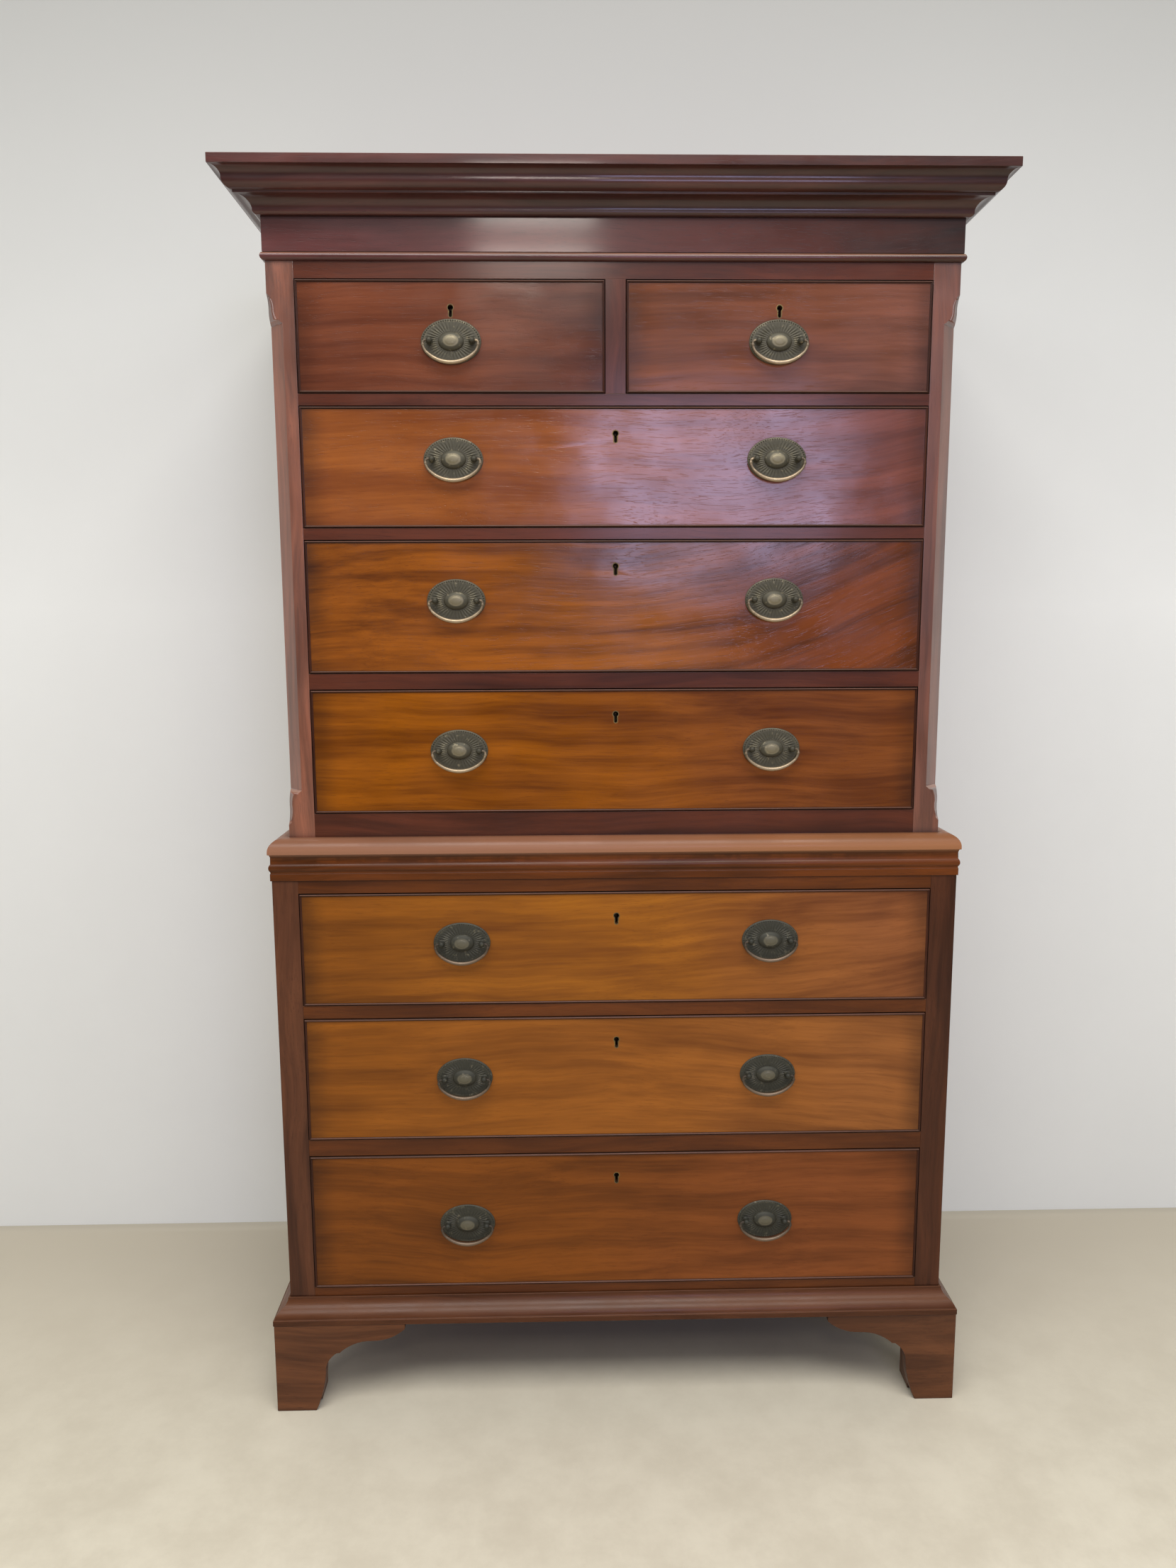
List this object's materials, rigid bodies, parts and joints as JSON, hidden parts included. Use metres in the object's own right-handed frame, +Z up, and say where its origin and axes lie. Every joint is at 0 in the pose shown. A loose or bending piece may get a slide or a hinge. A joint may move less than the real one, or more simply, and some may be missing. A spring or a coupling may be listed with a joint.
{
  "type": "chest on chest",
  "caption": "Tall two-part chest of stacked drawers with canted upper corners, moulded cornice, waist and base, bracket feet, oval drop handles and working drawer locks.",
  "frame": {"origin": "on the floor, in the middle of the width and of the depth", "axes": "+X to the right seen from the front, +Y towards the back, +Z up"},
  "size_m": [1.131, 0.578, 1.909],
  "materials": {
    "mahogany_case": "polished, old wax finish",
    "mahogany_front": "figured veneer, polished",
    "oak_interior": "bare, dry",
    "brass": "old patina",
    "steel_bolt": "worn, dull"
  },
  "bodies": {
    "case": {"cornice_moulding": "mahogany_case", "frieze_and_bead": "mahogany_case", "canted_corner_posts": "mahogany_case", "upper_case_boards": "mahogany_case", "upper_drawer_rails": "mahogany_case", "upper_dust_frames": "oak_interior", "upper_back_boards": "oak_interior", "waist_moulding": "mahogany_case", "lower_case_boards": "mahogany_case", "lower_drawer_rails": "mahogany_case", "lower_dust_frames": "oak_interior", "lower_back_boards": "oak_interior", "base_moulding": "mahogany_case", "bracket_feet": "mahogany_case"},
    "lower_drawer_3": {"lower_drawer_3_front": "mahogany_front", "lower_drawer_3_box": "oak_interior", "lower_drawer_3_brasses": "brass"},
    "lower_drawer_3_lock_bolt": {"lower_drawer_3_lock_bolt": "steel_bolt"},
    "lower_drawer_3_bail_left": {"lower_drawer_3_bail_left": "brass"},
    "lower_drawer_3_bail_right": {"lower_drawer_3_bail_right": "brass"},
    "lower_drawer_2": {"lower_drawer_2_front": "mahogany_front", "lower_drawer_2_box": "oak_interior", "lower_drawer_2_brasses": "brass"},
    "lower_drawer_2_lock_bolt": {"lower_drawer_2_lock_bolt": "steel_bolt"},
    "lower_drawer_2_bail_left": {"lower_drawer_2_bail_left": "brass"},
    "lower_drawer_2_bail_right": {"lower_drawer_2_bail_right": "brass"},
    "lower_drawer_1": {"lower_drawer_1_front": "mahogany_front", "lower_drawer_1_box": "oak_interior", "lower_drawer_1_brasses": "brass"},
    "lower_drawer_1_lock_bolt": {"lower_drawer_1_lock_bolt": "steel_bolt"},
    "lower_drawer_1_bail_left": {"lower_drawer_1_bail_left": "brass"},
    "lower_drawer_1_bail_right": {"lower_drawer_1_bail_right": "brass"},
    "upper_drawer_3": {"upper_drawer_3_front": "mahogany_front", "upper_drawer_3_box": "oak_interior", "upper_drawer_3_brasses": "brass"},
    "upper_drawer_3_lock_bolt": {"upper_drawer_3_lock_bolt": "steel_bolt"},
    "upper_drawer_3_bail_left": {"upper_drawer_3_bail_left": "brass"},
    "upper_drawer_3_bail_right": {"upper_drawer_3_bail_right": "brass"},
    "upper_drawer_2": {"upper_drawer_2_front": "mahogany_front", "upper_drawer_2_box": "oak_interior", "upper_drawer_2_brasses": "brass"},
    "upper_drawer_2_lock_bolt": {"upper_drawer_2_lock_bolt": "steel_bolt"},
    "upper_drawer_2_bail_left": {"upper_drawer_2_bail_left": "brass"},
    "upper_drawer_2_bail_right": {"upper_drawer_2_bail_right": "brass"},
    "upper_drawer_1": {"upper_drawer_1_front": "mahogany_front", "upper_drawer_1_box": "oak_interior", "upper_drawer_1_brasses": "brass"},
    "upper_drawer_1_lock_bolt": {"upper_drawer_1_lock_bolt": "steel_bolt"},
    "upper_drawer_1_bail_left": {"upper_drawer_1_bail_left": "brass"},
    "upper_drawer_1_bail_right": {"upper_drawer_1_bail_right": "brass"},
    "short_drawer_left": {"short_drawer_left_front": "mahogany_front", "short_drawer_left_box": "oak_interior", "short_drawer_left_brasses": "brass"},
    "short_drawer_left_lock_bolt": {"short_drawer_left_lock_bolt": "steel_bolt"},
    "short_drawer_left_bail": {"short_drawer_left_bail": "brass"},
    "short_drawer_right": {"short_drawer_right_front": "mahogany_front", "short_drawer_right_box": "oak_interior", "short_drawer_right_brasses": "brass"},
    "short_drawer_right_lock_bolt": {"short_drawer_right_lock_bolt": "steel_bolt"},
    "short_drawer_right_bail": {"short_drawer_right_bail": "brass"}
  },
  "joints": [
    {"name": "lower_drawer_3_slide", "type": "slide", "parent": "case", "child": "lower_drawer_3", "axis": [0, -1, 0], "range_m": [0, 0.38]},
    {"name": "lower_drawer_3_lock_bolt_slide", "type": "slide", "parent": "lower_drawer_3", "child": "lower_drawer_3_lock_bolt", "axis": [0, 0, 1], "range_m": [0, 0.009]},
    {"name": "lower_drawer_3_bail_left_hinge", "type": "hinge", "parent": "lower_drawer_3", "child": "lower_drawer_3_bail_left", "pos_m": [-0.24025, -0.2615, 0.31], "axis": [-1, 0, 0], "range_deg": [-9, 189]},
    {"name": "lower_drawer_3_bail_right_hinge", "type": "hinge", "parent": "lower_drawer_3", "child": "lower_drawer_3_bail_right", "pos_m": [0.24025, -0.2615, 0.31], "axis": [-1, 0, 0], "range_deg": [-9, 189]},
    {"name": "lower_drawer_2_slide", "type": "slide", "parent": "case", "child": "lower_drawer_2", "axis": [0, -1, 0], "range_m": [0, 0.38]},
    {"name": "lower_drawer_2_lock_bolt_slide", "type": "slide", "parent": "lower_drawer_2", "child": "lower_drawer_2_lock_bolt", "axis": [0, 0, 1], "range_m": [0, 0.009]},
    {"name": "lower_drawer_2_bail_left_hinge", "type": "hinge", "parent": "lower_drawer_2", "child": "lower_drawer_2_bail_left", "pos_m": [-0.24025, -0.2615, 0.557], "axis": [-1, 0, 0], "range_deg": [-9, 189]},
    {"name": "lower_drawer_2_bail_right_hinge", "type": "hinge", "parent": "lower_drawer_2", "child": "lower_drawer_2_bail_right", "pos_m": [0.24025, -0.2615, 0.557], "axis": [-1, 0, 0], "range_deg": [-9, 189]},
    {"name": "lower_drawer_1_slide", "type": "slide", "parent": "case", "child": "lower_drawer_1", "axis": [0, -1, 0], "range_m": [0, 0.38]},
    {"name": "lower_drawer_1_lock_bolt_slide", "type": "slide", "parent": "lower_drawer_1", "child": "lower_drawer_1_lock_bolt", "axis": [0, 0, 1], "range_m": [0, 0.009]},
    {"name": "lower_drawer_1_bail_left_hinge", "type": "hinge", "parent": "lower_drawer_1", "child": "lower_drawer_1_bail_left", "pos_m": [-0.24025, -0.2615, 0.777], "axis": [-1, 0, 0], "range_deg": [-9, 189]},
    {"name": "lower_drawer_1_bail_right_hinge", "type": "hinge", "parent": "lower_drawer_1", "child": "lower_drawer_1_bail_right", "pos_m": [0.24025, -0.2615, 0.777], "axis": [-1, 0, 0], "range_deg": [-9, 189]},
    {"name": "upper_drawer_3_slide", "type": "slide", "parent": "case", "child": "upper_drawer_3", "axis": [0, -1, 0], "range_m": [0, 0.36]},
    {"name": "upper_drawer_3_lock_bolt_slide", "type": "slide", "parent": "upper_drawer_3", "child": "upper_drawer_3_lock_bolt", "axis": [0, 0, 1], "range_m": [0, 0.009]},
    {"name": "upper_drawer_3_bail_left_hinge", "type": "hinge", "parent": "upper_drawer_3", "child": "upper_drawer_3_bail_left", "pos_m": [-0.24025, -0.2395, 1.075], "axis": [-1, 0, 0], "range_deg": [-9, 189]},
    {"name": "upper_drawer_3_bail_right_hinge", "type": "hinge", "parent": "upper_drawer_3", "child": "upper_drawer_3_bail_right", "pos_m": [0.24025, -0.2395, 1.075], "axis": [-1, 0, 0], "range_deg": [-9, 189]},
    {"name": "upper_drawer_2_slide", "type": "slide", "parent": "case", "child": "upper_drawer_2", "axis": [0, -1, 0], "range_m": [0, 0.36]},
    {"name": "upper_drawer_2_lock_bolt_slide", "type": "slide", "parent": "upper_drawer_2", "child": "upper_drawer_2_lock_bolt", "axis": [0, 0, 1], "range_m": [0, 0.009]},
    {"name": "upper_drawer_2_bail_left_hinge", "type": "hinge", "parent": "upper_drawer_2", "child": "upper_drawer_2_bail_left", "pos_m": [-0.24025, -0.2395, 1.302], "axis": [-1, 0, 0], "range_deg": [-9, 189]},
    {"name": "upper_drawer_2_bail_right_hinge", "type": "hinge", "parent": "upper_drawer_2", "child": "upper_drawer_2_bail_right", "pos_m": [0.24025, -0.2395, 1.302], "axis": [-1, 0, 0], "range_deg": [-9, 189]},
    {"name": "upper_drawer_1_slide", "type": "slide", "parent": "case", "child": "upper_drawer_1", "axis": [0, -1, 0], "range_m": [0, 0.36]},
    {"name": "upper_drawer_1_lock_bolt_slide", "type": "slide", "parent": "upper_drawer_1", "child": "upper_drawer_1_lock_bolt", "axis": [0, 0, 1], "range_m": [0, 0.009]},
    {"name": "upper_drawer_1_bail_left_hinge", "type": "hinge", "parent": "upper_drawer_1", "child": "upper_drawer_1_bail_left", "pos_m": [-0.24025, -0.2395, 1.508], "axis": [-1, 0, 0], "range_deg": [-9, 189]},
    {"name": "upper_drawer_1_bail_right_hinge", "type": "hinge", "parent": "upper_drawer_1", "child": "upper_drawer_1_bail_right", "pos_m": [0.24025, -0.2395, 1.508], "axis": [-1, 0, 0], "range_deg": [-9, 189]},
    {"name": "short_drawer_left_slide", "type": "slide", "parent": "case", "child": "short_drawer_left", "axis": [0, -1, 0], "range_m": [0, 0.36]},
    {"name": "short_drawer_left_lock_bolt_slide", "type": "slide", "parent": "short_drawer_left", "child": "short_drawer_left_lock_bolt", "axis": [0, 0, 1], "range_m": [0, 0.009]},
    {"name": "short_drawer_left_bail_hinge", "type": "hinge", "parent": "short_drawer_left", "child": "short_drawer_left_bail", "pos_m": [-0.24025, -0.2395, 1.675], "axis": [-1, 0, 0], "range_deg": [-9, 189]},
    {"name": "short_drawer_right_slide", "type": "slide", "parent": "case", "child": "short_drawer_right", "axis": [0, -1, 0], "range_m": [0, 0.36]},
    {"name": "short_drawer_right_lock_bolt_slide", "type": "slide", "parent": "short_drawer_right", "child": "short_drawer_right_lock_bolt", "axis": [0, 0, 1], "range_m": [0, 0.009]},
    {"name": "short_drawer_right_bail_hinge", "type": "hinge", "parent": "short_drawer_right", "child": "short_drawer_right_bail", "pos_m": [0.24025, -0.2395, 1.675], "axis": [-1, 0, 0], "range_deg": [-9, 189]}
  ]
}
